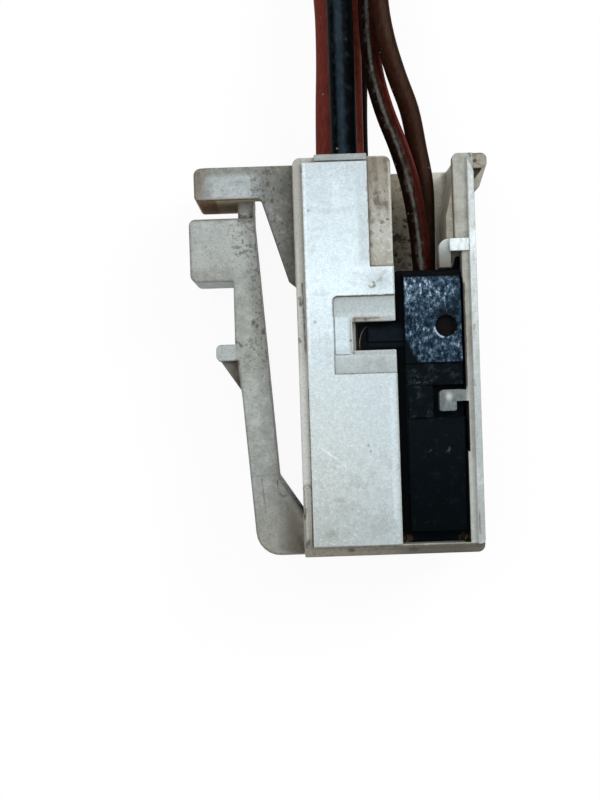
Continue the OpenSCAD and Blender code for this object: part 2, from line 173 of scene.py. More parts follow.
# Each point of a route is (shift sideways from the cavity's centre, run past the housing's wire
# end, height above the table as a share of the cavity's height), as in the part's source.
WIRES = {
    "black": (2.25, "black_insulation", [
        (0, -2, 1), (0, 5, 1), (0, 10, 0.99), (0, 14, 0.95), (-0.1, 18, 0.86), (-0.4, 22, 0.71),
        (-0.7, 26, 0.52), (-0.9, 30, 0.33), (-1.1, 34, 0.17), (-1.2, 38, 0.06), (-1.2, 43, 0),
        (-1.2, 49, 0), (-1.1, 55, 0), (-1, 61, 0)]),
    "red_left": (1.9, "red_insulation", [
        (0.25, -2, 1), (0.4, 5, 1), (0.6, 10, 0.99), (0.6, 14, 0.93), (0.3, 18, 0.82),
        (-0.2, 22, 0.65), (-0.8, 26, 0.45), (-1.3, 30, 0.26), (-1.6, 34, 0.12), (-1.8, 38, 0.03),
        (-1.9, 43, 0), (-1.9, 49, 0), (-2, 54, 0), (-2.1, 59, 0)]),
    "red_right": (1.9, "red_insulation", [
        (-0.25, -2, 1), (-0.25, 5, 1), (-0.2, 10, 0.99), (-0.1, 14, 0.93), (-0.1, 18, 0.82),
        (0, 22, 0.65), (0, 26, 0.45), (0, 30, 0.26), (0, 34, 0.12), (0, 38, 0.03), (0, 43, 0),
        (0, 49, 0), (0.1, 55, 0), (0.1, 62, 0)]),
    "dark_brown": (1.7, "brown_insulation", [
        (0.35, -2, 1), (0.4, 5, 1), (0.6, 10, 0.98), (0.8, 14, 0.91), (0.9, 18, 0.79), (1.1, 22, 0.61),
        (1.4, 26, 0.4), (1.6, 30, 0.2), (1.8, 34, 0.06), (1.9, 38, 0), (2, 43, 0), (2.1, 48, 0),
        (2.1, 53, 0), (2.1, 58, 0)]),
    "striped": (1.7, "dark_insulation", [
        (-0.2, -9.2, 1), (-0.7, -4, 1), (-1.1, -1.8, 1), (-1.85, 1, 0.97), (-3, 4.5, 0.9),
        (-3.7, 7.6, 0.83), (-4, 11, 0.79), (-4, 15, 0.72), (-3.6, 19.5, 0.57), (-2.8, 24.5, 0.36),
        (-2, 29.5, 0.17), (-1.4, 35, 0.04), (-1.2, 41, 0), (-1.2, 60, 0)]),
    "brown": (1.7, "brown_insulation", [
        (0.3, -9.2, 1), (0.4, -5, 1), (0.35, -1.4, 1.02), (-0.1, 1.2, 1.08), (-0.8, 4.6, 1.25),
        (-1.85, 7.4, 1.4), (-2.75, 10.5, 1.48), (-3.2, 14, 1.45), (-2.9, 18, 1.32), (-2, 22.5, 1.04),
        (-0.8, 27.5, 0.65), (0.1, 32.5, 0.32), (0.6, 37.5, 0.1), (0.8, 43, 0), (0.8, 60.5, 0)]),
}


def wire_route(name):
    """The wire's centreline in metres, from its stripped end inside the plastic to its cut end."""
    diameter, _, shifts = WIRES[name]
    low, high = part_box("core_" + name)
    x, z, radius = (low.x + high.x) / 2, (low.z + high.z) / 2, diameter * MM / 2
    return [Vector((x, high.y, z))] + [
        Vector((x + dx * MM, RIM_Y + dy * MM, radius + (z - radius) * share))
        for dx, dy, share in shifts]


def add_strands(name, path):
    """The nineteen copper strands at a wire's cut end."""
    low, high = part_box("core_" + name)
    strand = (high.x - low.x) / STRANDS_ACROSS / 2
    axis = (path[-1] - path[-2]).normalized()
    right = axis.cross(Vector((0, 0, 1))).normalized()
    up = right.cross(axis)
    chance = random.Random(name)
    bm = bmesh.new()
    for ring, count in ((0, 1), (1, 6), (2, 12)):
        for i in range(count):
            angle = 2 * math.pi * i / count
            centre = path[-1] + 2 * strand * ring * (math.cos(angle) * right + math.sin(angle) * up)
            out = STRAND_OUT * chance.uniform(SHORTEST_STRAND, 1)
            ends = [centre - axis * STRAND_IN, centre + axis * out]
            rings = tube_rings(ends, strand * STRAND_FILL, strand * STRAND_ROUNDING)
            add_tube(bm, rings, STRAND_SIDES)
    return new_piece("strands_" + name, bm)


def add_wire(name):
    diameter, slot, _ = WIRES[name]
    radius = diameter * MM / 2
    path = smooth_path(wire_route(name), WIRE_GAP, radius)
    bm = bmesh.new()
    add_tube(bm, tube_rings(path, radius, CUT_ROUNDING), WIRE_SIDES)
    wire = new_piece("insulation_" + name, bm)
    strands = add_strands(name, path)
    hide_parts("wire_" + name)
    return wire, strands


# ---- shader helper

def linear(*shade):
    """An sRGB colour, 0 to 255, as the linear colour that shaders take."""
    return tuple((c / 255 / 12.92 if c <= 10 else ((c / 255 + 0.055) / 1.055) ** 2.4)
                 for c in shade) + (1,)


class Nodes:
    """The node tree of a material or world under construction."""

    def __init__(self, holder, output_kind):
        holder.use_nodes = True
        self.tree = holder.node_tree
        self.tree.nodes.clear()
        self.output = self.add(output_kind)

    def add(self, kind, **settings):
        node = self.tree.nodes.new(kind)
        for key, value in settings.items():
            setattr(node, key, value)
        return node

    def put(self, socket, value):
        """Sets a socket to a number or colour, or links it to another socket."""
        if isinstance(value, bpy.types.NodeSocket):
            self.tree.links.new(value, socket)
        else:
            socket.default_value = value

    def result(self, kind, *values, **settings):
        """The first output of a new node whose first inputs have these values."""
        node = self.add(kind, **settings)
        for socket, value in zip(node.inputs, values):
            self.put(socket, value)
        return node.outputs[0]

    def math(self, operation, a, b=0.0):
        return self.result("ShaderNodeMath", a, b, operation=operation)

    def split(self, vector):
        node = self.add("ShaderNodeSeparateXYZ")
        self.put(node.inputs[0], vector)
        return node.outputs


class Finish(Nodes):
    """One material under construction: a Principled surface and the maths that feeds it."""

    def __init__(self, name, roughness, specular, wander=0.0, wander_scale=1.0):
        self.material = bpy.data.materials.new(name)
        super().__init__(self.material, "ShaderNodeOutputMaterial")
        self.surface = self.add("ShaderNodeBsdfPrincipled")
        self.put(self.output.inputs[0], self.surface.outputs[0])
        self.surface.inputs["Roughness"].default_value = roughness
        self.surface.inputs["Specular IOR Level"].default_value = specular
        coordinates = self.add("ShaderNodeTexCoord").outputs
        corner = self.vector("SUBTRACT", coordinates["Object"], (BLOCK_X, MATING_Y, 0))
        self.place = self.vector("SCALE", corner, 1 / MM)
        self.x, self.y, self.z = self.split(self.place)
        self.facing_x, self.facing_y, self.facing_z = self.split(coordinates["Normal"])
        self.around = self.split(coordinates["UV"])[0]
        # Places that wander a little, so that the borders of stains are not straight
        self.wavy_x = self.plus(self.x, self.noise(wander_scale, 5, 0.75, swing=wander))
        self.wavy_y = self.plus(self.y, self.noise(wander_scale * 1.13, 5, 0.75, swing=wander))
        self.flat = self.result("ShaderNodeCombineXYZ", self.wavy_x, self.wavy_y)
        # Marks are made on the front alone, and lines of dirt are patchy
        self.front = self.above(self.z, 9.5, 0.5)
        self.patchy = self.ramp(self.noise(1.9, 4, 0.7), 0.36, 0.6, 0.4, 1)
        self.tint = None

    def chain(self, operation, total, *others):
        for other in others:
            total = self.math(operation, total, other)
        return total

    def plus(self, *terms):
        return self.chain("ADD", *terms)

    def times(self, *factors):
        return self.chain("MULTIPLY", *factors)

    def most(self, *values):
        return self.chain("MAXIMUM", *values)

    def minus(self, a, b):
        return self.math("SUBTRACT", a, b)

    def vector(self, operation, a, b=(0, 0, 0)):
        node = self.add("ShaderNodeVectorMath", operation=operation)
        self.put(node.inputs[0], a)
        self.put(node.inputs["Scale" if operation == "SCALE" else 1], b)
        return node.outputs["Value" if operation in ("DOT_PRODUCT", "LENGTH") else "Vector"]

    def ramp(self, value, low, high, out_low=0.0, out_high=1.0):
        """A smooth step as value goes from low to high."""
        return self.result("ShaderNodeMapRange", value, low, high, out_low, out_high,
                           interpolation_type="SMOOTHSTEP")

    def below(self, value, limit, soft=0.1):
        return self.ramp(value, limit - soft, limit + soft, 1, 0)

    def above(self, value, limit, soft=0.1):
        return self.ramp(value, limit - soft, limit + soft)

    def band(self, value, low, high, soft=0.1):
        """1 between low and high, and 0 outside."""
        return self.times(self.above(value, low, soft), self.below(value, high, soft))

    def area(self, x0, x1, y0, y1, soft=0.1):
        """1 inside a rectangle seen from the front."""
        return self.times(self.band(self.wavy_x, x0, x1, soft), self.band(self.wavy_y, y0, y1, soft))

    def blot(self, x, y, half_x, half_y, soft=0.5):
        """1 inside an ellipse on the front. soft is a share of its size."""
        apart = self.vector("SUBTRACT", self.flat, (x, y, 0))
        reach = self.vector("LENGTH", self.vector("DIVIDE", apart, (half_x, half_y, 1)))
        return self.times(self.front, self.ramp(reach, 1 - soft, 1 + soft, 1, 0))

    def ring(self, x, y, radius, width):
        apart = self.vector("SUBTRACT", self.flat, (x, y, 0))
        reach = self.vector("LENGTH", apart)
        off = self.math("ABSOLUTE", self.minus(reach, radius))
        return self.times(self.front, self.ramp(off, width / 3, width, 1, 0))

    def stroke(self, points, width):
        """1 along a line through points on the front."""
        nearest = 10.0
        for (x0, y0), (x1, y1) in zip(points, points[1:]):
            run = (x1 - x0, y1 - y0, 0)
            squared = run[0] ** 2 + run[1] ** 2
            apart = self.vector("SUBTRACT", self.flat, (x0, y0, 0))
            share = self.vector("DOT_PRODUCT", apart, tuple(c / squared for c in run))
            share = self.math("MINIMUM", self.math("MAXIMUM", share, 0.0), 1.0)
            off = self.vector("SUBTRACT", apart, self.vector("SCALE", run, share))
            nearest = self.math("MINIMUM", self.vector("LENGTH", off), nearest)
        return self.times(self.front, self.patchy, self.ramp(nearest, width / 3, width, 1, 0))

    def noise(self, scale, detail=2.0, roughness=0.5, stretch=None, swing=None):
        """Noise from 0 to 1, or between plus and minus swing, with scale features per mm."""
        node = self.add("ShaderNodeTexNoise")
        place = self.place if stretch is None else self.vector("MULTIPLY", self.place, stretch)
        self.put(node.inputs["Vector"], place)
        node.inputs["Scale"].default_value = scale
        node.inputs["Detail"].default_value = detail
        node.inputs["Roughness"].default_value = roughness
        if swing is None:
            return node.outputs[0]
        return self.math("MULTIPLY", self.minus(node.outputs[0], 0.5), 2 * swing)

    def spots(self, scale, size, soft=0.15, keep=1.0):
        """Separate specks: 1 inside each. keep is the share of cells that hold one."""
        rough = self.add("ShaderNodeTexNoise")
        rough.inputs["Scale"].default_value = scale * 2.5
        self.put(rough.inputs["Vector"], self.place)
        shift = self.vector("SCALE", rough.outputs["Color"], 0.6 / scale)
        cells = self.add("ShaderNodeTexVoronoi")
        self.put(cells.inputs["Vector"], self.vector("ADD", self.place, shift))
        cells.inputs["Scale"].default_value = scale
        chance = self.split(cells.outputs["Color"])[0]
        size = self.times(self.ramp(chance, 0.0, keep, 1.3, 0.5), size)
        chosen = self.ramp(chance, keep - 0.01, keep + 0.01, 1, 0)
        off = self.minus(cells.outputs["Distance"], size)
        return self.times(chosen, self.ramp(off, 0, soft, 1, 0))

    def grade(self, value, stops):
        """A colour that changes with value, through stops of (value, red, green, blue)."""
        low, high = stops[0][0], stops[-1][0]
        node = self.add("ShaderNodeValToRGB")
        ramp = node.color_ramp
        for i, (stop, *shade) in enumerate(stops):
            place = (stop - low) / (high - low)
            element = ramp.elements[i] if i < 2 else ramp.elements.new(place)
            element.position = place
            element.color = linear(*shade)
        self.put(node.inputs[0], self.math("DIVIDE", self.minus(value, low), high - low))
        return node.outputs[0]

    def mix(self, factor, a, b):
        """Two colours mixed, each sRGB or linked."""
        node = self.add("ShaderNodeMix", data_type="RGBA")
        self.put(node.inputs["Factor"], factor)
        for i, shade in ((6, a), (7, b)):
            linked = isinstance(shade, bpy.types.NodeSocket)
            self.put(node.inputs[i], shade if linked else linear(*shade))
        return node.outputs[2]

    def layer(self, mask, shade, strength=1.0):
        """Lays a colour over the tint so far where the mask is 1, or where all of several are."""
        masks = mask if isinstance(mask, tuple) else (mask,)
        self.tint = self.mix(self.times(*masks, strength), self.tint, shade)

    def line(self, points, width, shade, strength, *within):
        """Lays a colour over the tint along a line, where all other masks are 1."""
        self.layer((*within, self.stroke(points, width)), shade, strength)

    def vary(self, value, darkest, lightest):
        """Darkens and lightens the tint as a noise runs through its middle range."""
        self.tint = self.vector("SCALE", self.tint, self.ramp(value, 0.32, 0.68, darkest, lightest))

    def bump(self, height, distance_mm, strength=1.0):
        node = self.add("ShaderNodeBump")
        node.inputs["Strength"].default_value = strength
        node.inputs["Distance"].default_value = distance_mm * MM
        self.put(node.inputs["Height"], height)
        self.tree.links.new(node.outputs[0], self.surface.inputs["Normal"])

    def done(self):
        self.put(self.surface.inputs["Base Color"], self.tint)
        return self.material


# ---- nylon

# Shades along x or y: (place in mm, red, green, blue)
# The panel's shades along y are painted light: lightest at y 22.5, darker towards both ends.
SLAB_PAINTED_LIGHT = ((0.5, 170, 177, 174), (3, 178, 186, 184), (6.5, 196, 204, 202), (11.5, 202, 213, 213),
               (17, 206, 220, 225), (22.5, 230, 246, 252), (28, 214, 229, 235), (31, 204, 219, 226),
               (33, 196, 209, 214))
FRAME_SHADES = ((15.3, 176, 185, 185), (16.4, 180, 190, 191), (17.6, 208, 223, 229),
                (19.8, 208, 223, 229), (20.4, 180, 190, 191), (20.9, 178, 188, 189),
                (21.6, 170, 178, 178))
NOTCH_EDGE_SHADES = ((4.6, 128, 118, 102), (5.8, 140, 132, 118), (7, 160, 158, 148),
                     (8.2, 166, 168, 164))
STRIP_SHADES = ((1, 144, 141, 131), (5.6, 158, 158, 150), (6.4, 192, 194, 189), (15.5, 190, 192, 186),
                (17, 170, 170, 161), (33, 166, 166, 158))
POCKET_SHADES = ((24, 176, 170, 158), (25, 172, 170, 160), (27, 184, 186, 180), (29, 168, 166, 156),
                 (31.5, 152, 147, 135), (33, 136, 128, 114))
LEVER_SHADES = ((0.5, 146, 145, 136), (3, 148, 149, 142), (5.5, 152, 155, 150), (9, 156, 160, 155),
                (13, 163, 167, 162), (17, 156, 160, 154), (21, 154, 158, 152), (24.5, 168, 173, 169),
                (29, 172, 177, 174))
LEVER_SIDE_PAINTED_SHADE = ((4, 120, 121, 114), (11, 143, 147, 144), (16, 132, 135, 129), (22, 122, 124, 117),
                     (27, 142, 145, 140))
GUARD_DIRT_AND_SHADE = ((-8.7, 100, 96, 86), (-7.9, 118, 116, 107), (-6.6, 174, 182, 183),
                (-3.8, 174, 182, 184), (-2.6, 120, 124, 121), (-0.3, 96, 96, 90))
WEB_PAINTED_SHADE = ((-4.6, 128, 132, 129), (-3.4, 122, 124, 121), (-2.4, 106, 106, 101), (-1.5, 82, 78, 70))
SLOPE_PAINTED_SHADE = ((-6.8, 146, 147, 139), (-6, 134, 132, 121), (-5.35, 92, 84, 72))
FLOOR_PAINTED_LIGHT_AND_SHADOW = ((8.4, 158, 150, 130), (10, 178, 170, 150), (11.2, 236, 230, 212), (12.5, 240, 236, 222))
LEG_PAINTED_SHADE = ((23.2, 90, 78, 62), (24, 106, 103, 94), (25, 132, 135, 131), (26.2, 196, 204, 204))
RIB_SHADES = ((1, 166, 172, 170), (10, 176, 185, 186), (20, 202, 210, 210), (24.6, 208, 217, 218),
              (25.4, 234, 245, 248), (26.5, 234, 245, 248), (27.2, 208, 216, 215), (33, 204, 210, 208))
END_PAINTED_SHADE = ((0, 132, 127, 114), (7, 116, 112, 101), (9, 84, 81, 73), (13, 82, 79, 71),
              (15, 96, 93, 84))
BROWN = (112, 98, 82)
# Dark dirt, also used for lines of painted shade
SOOT_AND_SHADE = (62, 52, 43)
CREVICE_REACH = 0.7 * MM                # how far dirt and painted shade spread from a corner
NYLON_DEPTHS = (0.0012, 0.0011, 0.001)  # how deep red, green and blue light goes, in metres


def paint_front(f, mottle, fine):
    """The block's raised panel, the frame round the notch and the lip at the wire end."""
    raised = f.above(f.z, 13.97, 0.02)
    f.layer(raised, f.grade(f.y, SLAB_PAINTED_LIGHT))
    f.layer((raised, f.ramp(mottle, 0.5, 0.72)), (188, 198, 202), 0.45)
    cells = f.minus(f.noise(2.4, 2, 0.5), 0.5)
    f.layer((raised, f.ramp(f.math("ABSOLUTE", cells), 0.035, 0)), (242, 250, 253), 0.3)
    # Painted shade: the panel is darker and bluer at its lower right.
    f.layer((raised, f.above(f.x, 4.5, 2.5), f.below(f.y, 16, 4)), (190, 206, 216), 0.35)
    f.layer((raised, f.area(5.3, 6.3, 24.4, 33, 0.3), f.ramp(mottle, 0.3, 0.6, 0.5, 1)),
            (194, 206, 210), 0.8)
    f.layer((raised, f.area(0.8, 8.2, 0.5, 8, 1.5), f.ramp(mottle, 0.45, 0.65)),
            (164, 168, 162), 0.45)
    f.layer((raised, f.area(7.5, 7.85, 3, 14.6, 0.12)), (214, 228, 234), 0.5)
    f.layer((raised, f.above(f.wavy_x, 8.05, 0.05), f.below(f.y, 24, 0.2)), (160, 168, 168), 0.7)
    f.layer(f.area(3.19, 3.86, 29.06, 31.33, 0.08), (236, 246, 250), 0.35)
    f.layer(f.blot(1.9, 30.3, 1.4, 0.5, 0.8), (200, 212, 218), 0.5)
    # Faint wear: a line and a soft grey band near the wires, a light scratch lower down
    f.line([(0.8, 31.6), (3, 31.75), (5.3, 32.2)], 0.08, (180, 190, 192), 0.5)
    f.line([(1, 29.15), (2.9, 28.8), (4.8, 29)], 0.34, (190, 201, 205), 0.45)
    f.line([(1.8, 8.95), (2.7, 8.35), (3.65, 7.5)], 0.18, (240, 249, 253), 0.4)
    f.layer(f.blot(3.06, 4.74, 0.4, 0.2, 0.9), (146, 148, 142), 0.55)
    f.layer(f.blot(2.2, 1.9, 0.5, 0.3, 0.9), (138, 140, 134), 0.5)
    f.layer(f.blot(6.3, 2.3, 0.9, 0.7, 0.9), (150, 154, 150), 0.4)
    # A worn dent: an open ring with dirt in it and two scrapes beside it
    opening = f.below(f.minus(f.wavy_y, f.wavy_x), 16.5)
    open_ring = f.times(f.ring(6.28, 22.62, 0.25, 0.13), opening)
    f.layer(f.blot(6.9, 22.9, 1.2, 0.9, 0.8), (188, 200, 203), 0.75)
    f.layer((open_ring, f.patchy), (122, 118, 106), 0.85)
    f.layer(f.blot(6.5, 22.5, 0.14, 0.12), (122, 116, 104), 0.7)
    for points in ([(6.75, 22.85), (7.1, 23.15)], [(7.05, 22.9), (7.2, 23.4), (7.45, 23.7)]):
        f.line(points, 0.16, (164, 162, 152), 0.6)
    for x, y, size in ((1.46, 19.63, 0.14), (5.6, 9.2, 0.12), (5.75, 8.7, 0.1), (1.2, 28.9, 0.12)):
        f.layer(f.blot(x, y, size, size), (132, 130, 122), 0.6)
    f.layer(f.blot(2.94, 18.75, 0.34, 0.4, 0.3), (240, 249, 253), 0.6)
    f.layer(f.blot(3.05, 18.78, 0.09, 0.17), SOOT_AND_SHADE, 0.85)
    # The panel's left edge is chipped, with a painted highlight along it
    ragged = f.plus(f.x, f.noise(3.2, 4, 0.75, swing=0.2))
    f.layer((raised, f.below(ragged, 0.86, 0.03)), (198, 199, 193), 0.6)
    f.layer((raised, f.band(ragged, 0.9, 1.05, 0.05), f.above(f.y, 16, 1)), (240, 249, 253), 0.5)
    torn = f.plus(f.x, f.noise(1.6, 4, 0.7, swing=0.5))
    f.layer((raised, f.above(torn, 6.2, 0.05), f.above(f.y, 24.3)), (150, 144, 132), 0.75)
    # The frame round the notch, and the floor inside it
    framed = f.times(f.area(2.95, 8.3, 15.2, 21.7, 0.04), f.band(f.z, 13.5, 13.95, 0.02))
    f.layer(framed, f.grade(f.y, FRAME_SHADES))
    f.layer((framed, f.area(5.4, 7.5, 15.3, 16.7, 0.5), f.ramp(mottle, 0.4, 0.6)),
            (150, 156, 154), 0.5)
    f.layer((framed, f.area(4.25, 4.95, 17, 19.8, 0.15)), (176, 180, 177), 0.7)
    f.layer((framed, f.area(4.6, 8.2, 16.75, 17.2)), (164, 166, 160), 0.6)
    f.layer((framed, f.area(4.6, 8.2, 19.4, 20, 0.2)), f.grade(f.x, NOTCH_EDGE_SHADES), 0.8)
    f.line([(2.98, 20), (2.98, 21.45), (3.25, 21.7), (8.1, 21.72)], 0.11, BROWN, 0.9)
    f.line([(2.99, 17.1), (2.99, 15.22), (8.1, 15.22)], 0.08, (128, 128, 120), 0.8)
    f.layer(f.blot(2.95, 18.5, 0.12, 2, 0.6), (204, 219, 225), 0.6)
    f.line([(4.9, 19.86), (5.7, 19.78), (6.8, 19.84)], 0.13, BROWN, 0.8)
    for x, y, size in ((4.6, 16.95, 0.14), (5.7, 19.7, 0.14), (4.75, 19.75, 0.14), (4.4, 18, 0.1)):
        f.layer(f.blot(x, y, size, size), SOOT_AND_SHADE, 0.6)
    inside = f.area(4.3, 8.2, 17, 19.7, 0.05)
    f.layer((inside, f.below(f.z, 13.5)), (186, 187, 180), 0.8)
    # Deeper down, the notch is painted near-black: painted shade.
    f.layer((inside, f.below(f.z, 13.1)), (8, 6, 5), 0.97)
    lip = f.times(f.area(1.7, 6.3, 33.02, 34, 0.03), f.above(f.z, 13.5))
    f.layer(lip, f.mix(f.ramp(fine, 0.35, 0.65), (168, 173, 171), (146, 154, 154)))


def paint_strip(f, fine):
    """The low strip down the left of the block's front, and its tongue."""
    strip = f.times(f.area(-0.1, 0.78, -0.1, 33.6, 0.05), f.below(f.z, 13.8, 0.06))
    f.layer(strip, f.grade(f.y, STRIP_SHADES))
    f.layer((strip, f.ramp(fine, 0.5, 0.7)), (146, 144, 134), 0.5)
    f.layer((strip, f.band(f.wavy_x, 0.12, 0.3, 0.08), f.below(f.y, 26, 1)), (202, 206, 202), 0.4)
    for points, width in (
            ([(0.5, 22.9), (0.6, 17.2)], 0.12), ([(0.28, 21.7), (0.34, 21.1)], 0.18),
            ([(0.12, 18.3), (0.2, 18)], 0.15), ([(0.02, 3.2), (0.2, 4)], 0.2),
            ([(0.1, 0.75), (0.36, 1.4)], 0.24), ([(0.7, 0.9), (0.74, 6), (0.76, 14)], 0.07),
            ([(0.75, 32.2), (0.8, 32.7), (1.6, 33)], 0.12)):
        f.line(points, width, SOOT_AND_SHADE, 0.8)
    f.line([(0.02, 5.7), (0.2, 6), (0.5, 6.05), (0.72, 5.8)], 0.1, BROWN, 0.9)


def paint_pocket(f, mottle, fine):
    """The pocket at the block's top right, soiled brown."""
    pocket = f.times(f.area(6.15, 8.3, 24, 33.3, 0.06), f.below(f.z, 13.8, 0.06))
    f.layer(pocket, f.grade(f.y, POCKET_SHADES))
    f.layer((pocket, f.ramp(mottle, 0.45, 0.62)), (150, 146, 132), 0.5)
    f.layer((pocket, f.ramp(fine, 0.52, 0.68), f.below(f.y, 29, 1)), (204, 206, 202), 0.55)
    streaks = f.noise(1.1, 4, 0.7, stretch=(2.4, 0.5, 1))
    f.layer((pocket, f.ramp(streaks, 0.48, 0.66), f.above(f.y, 28, 2.5)), BROWN, 0.65)
    f.line([(6.85, 33.1), (6.85, 31.4)], 0.35, (96, 82, 68), 0.6)
    f.line([(7.75, 33.1), (7.8, 32.1)], 0.22, (96, 82, 68), 0.7)
    f.line([(8.05, 32.8), (8.1, 24.5)], 0.1, (196, 197, 190), 0.7)
    specks = f.ramp(f.noise(1.7, 5, 0.8), 0.57, 0.62)
    f.layer((pocket, specks, f.band(f.y, 26.5, 31, 0.6)), (92, 80, 66), 0.8)
    for x, y, wide, tall in (
            (6.28, 28.5, 0.2, 0.42), (6.45, 27.95, 0.24, 0.26), (6.4, 26.95, 0.13, 0.26),
            (6.4, 25.9, 0.12, 0.2), (7.4, 29.3, 0.5, 0.4), (7.05, 29.75, 0.3, 0.25)):
        f.layer((f.blot(x, y, wide, tall, 0.6), f.patchy), (70, 56, 44), 0.7)
    f.line([(6.2, 33), (6.22, 29), (6.3, 28.2), (6.24, 24.2), (8.1, 24.15)], 0.13, BROWN, 0.8)
    f.line([(2.4, 33.05), (4.2, 33), (6.1, 32.98)], 0.2, (92, 80, 66), 0.95)
    f.line([(0.8, 33.05), (1, 32.6), (1.6, 32.9)], 0.2, BROWN, 0.8)


def lever_tone(f, shaded_right_side, guard):
    """The broad shades of the lever, the guard and its web, with painted shade near the block and on the
    pad's rim.
    """
    tone = f.grade(f.y, LEVER_SHADES)
    # Painted shade down the lever's right side, where the block shadows it
    tone = f.mix(f.times(shaded_right_side, f.above(f.y, 4, 3)), tone, f.grade(f.y, LEVER_SIDE_PAINTED_SHADE))
    # Painted shade on the pad's rounded rim
    rim = f.most(f.below(f.x, -8.75, 0.35), f.above(f.y, 28.65, 0.3), f.below(f.y, 24.6, 0.3))
    pad = f.times(f.below(f.x, -5.2, 0.3), f.band(f.y, 23.5, 29.2))
    tone = f.mix(f.times(pad, rim, 0.6), tone, (140, 140, 131))
    # Painted shade at the lever's foot, beside the block
    foot = f.times(f.below(f.y, 5.5, 2.5), f.ramp(f.x, -2.4, -0.2))
    tone = f.mix(f.times(foot, 0.6), tone, (124, 118, 106))
    # The guard: dirt at its left end, and painted shade at its right end beside the block
    tone = f.mix(guard, tone, f.grade(f.x, GUARD_DIRT_AND_SHADE))
    # Painted shade on the web, darker towards the block
    web = f.times(f.above(f.x, -3.3, 0.15), f.band(f.y, 22.5, 30.4, 0.3))
    tone = f.mix(web, tone, f.grade(f.minus(f.x, f.times(f.y, 0.05)), WEB_PAINTED_SHADE))
    post = f.times(f.below(f.x, -3.3), f.band(f.y, 28.7, 30.25, 0.12))
    return f.mix(post, tone, (114, 114, 109))


def paint_lever(f, mottle, fine):
    """The lever, its pad and catch, the guard and its web: greyer, with soot and painted shade in the
    corners.
    """
    left = f.below(f.x, -0.05, 0.02)
    guard = f.above(f.y, 30, 0.15)
    # Distance in from the lever's right side, which leans to the left
    inset = f.minus(-1.53, f.plus(f.x, f.times(f.y, 0.066)))
    # The lever's right side, towards the block, gets painted shade
    shaded_right_side = f.times(f.ramp(inset, 1.5, 0.2), f.below(f.y, 29.5, 0.3))
    f.layer(left, lever_tone(f, shaded_right_side, guard))
    # Painted light on the lever's faces that turn to the right
    f.layer((left, f.ramp(f.facing_x, 0.5, 0.9), f.below(f.y, 30, 0.2)), (198, 199, 192), 0.8)
    f.layer((left, f.ramp(mottle, 0.5, 0.68)), (138, 141, 135), 0.4)
    f.layer((left, f.ramp(mottle, 0.48, 0.32), f.above(f.y, 6, 2), f.below(f.y, 30, 1)),
            (186, 190, 187), 0.35)
    f.vary(f.noise(1.7, 5, 0.75), 0.88, 1.1)
    # Dirt on the guard, and painted shade along its rounded top edge
    f.layer((guard, f.above(f.wavy_y, 32.35, 0.3)),
            f.mix(f.ramp(fine, 0.4, 0.6), (132, 132, 125), (106, 102, 92)), 0.75)
    f.layer((guard, f.below(f.wavy_x, -7.9, 0.5)), (132, 124, 108), 0.6)
    f.layer((guard, f.below(f.wavy_x, -7.6, 0.5), f.above(f.y, 31.4, 0.5), f.ramp(fine, 0.4, 0.6)),
            (104, 86, 66), 0.6)
    f.layer((guard, f.below(f.wavy_y, 30.55, 0.12), f.below(f.x, -2.5, 0.5)), (150, 150, 142), 0.5)
    # The catch, and the slope below it in painted shade, darker towards the lever
    slope = f.times(f.area(-8, -5.1, 13.4, 16.75, 0.05), f.below(f.z, 10.6))
    f.layer(slope, f.grade(f.x, SLOPE_PAINTED_SHADE))
    catch = f.times(f.area(-8, -5.35, 16.7, 18.2, 0.05), f.above(f.z, 10.6))
    f.layer(catch, (172, 179, 178), 0.85)
    # Lines of soot in the lever's joints and corners; those along the block, under the catch and at the
    # lever's foot are painted shade as well
    for points, width, strength in (
            ([(-3.46, 6.5), (-3.35, 5.2), (-3.21, 3.7)], 0.12, 0.45),
            ([(-3.9, 6.85), (-2, 6.9)], 0.12, 0.25),
            ([(-1.95, 5.25), (-1.7, 5), (-1.45, 5.1)], 0.16, 0.45),
            ([(-4.9, 29.15), (-4.1, 28.85), (-3.5, 28.95)], 0.24, 0.8),
            ([(-4.3, 28.5), (-3.9, 27.9), (-3.3, 27.7)], 0.14, 0.5),
            ([(-4.75, 28.62), (-3.9, 28.56), (-3.2, 28.62)], 0.14, 0.75),
            ([(-0.4, 1.5), (-0.12, 0.5)], 0.3, 0.75),
            ([(-0.1, 33), (-0.1, 29.5), (-0.08, 25)], 0.25, 0.95),
            ([(-6.9, 16.66), (-5.5, 16.62)], 0.14, 0.9),
            ([(-5.5, 18.35), (-5.05, 18.2), (-4.8, 17.9)], 0.16, 0.8)):
        f.line(points, width, SOOT_AND_SHADE, strength, left)
    f.layer(f.blot(-5.35, 16.45, 0.3, 0.35, 0.4), (66, 44, 32), 0.9)
    for x, y, size in (
            (-2.1, 31.5, 0.18), (-2.5, 30.5, 0.1), (-1.8, 30.1, 0.16), (-2.45, 30, 0.12),
            (-3.75, 19.9, 0.17), (-3.45, 19.6, 0.14), (-2.9, 19.1, 0.2)):
        f.layer((left, f.blot(x, y, size, size * 1.3)), (58, 54, 48), 0.8)
    dirty = f.times(left, f.most(
        f.times(shaded_right_side, f.above(f.y, 14, 3)), f.times(f.area(-5.5, -3.4, 25, 29, 0.5), 0.8),
        f.times(guard, f.above(f.x, -3.6, 1.2)), f.times(f.area(-5, -2, 16, 19, 1), 0.6), 0.2))
    f.layer((dirty, f.ramp(f.noise(1.6, 6, 0.8), 0.53, 0.58)), (72, 70, 63), 0.85)
    f.layer((dirty, f.spots(3.2, 0.18, 0.25, keep=0.6)), (72, 70, 63), 0.85)
    # Painted shade at the lever's foot, beside the block
    f.layer(f.blot(-0.7, 2.3, 0.7, 1.7, 0.8), (112, 104, 90), 0.5)
    f.layer((dirty, f.ramp(fine, 0.52, 0.66)), (112, 112, 104), 0.6)
    f.layer((left, f.spots(6, 0.2, 0.25, keep=0.35)), (116, 116, 108), 0.4)


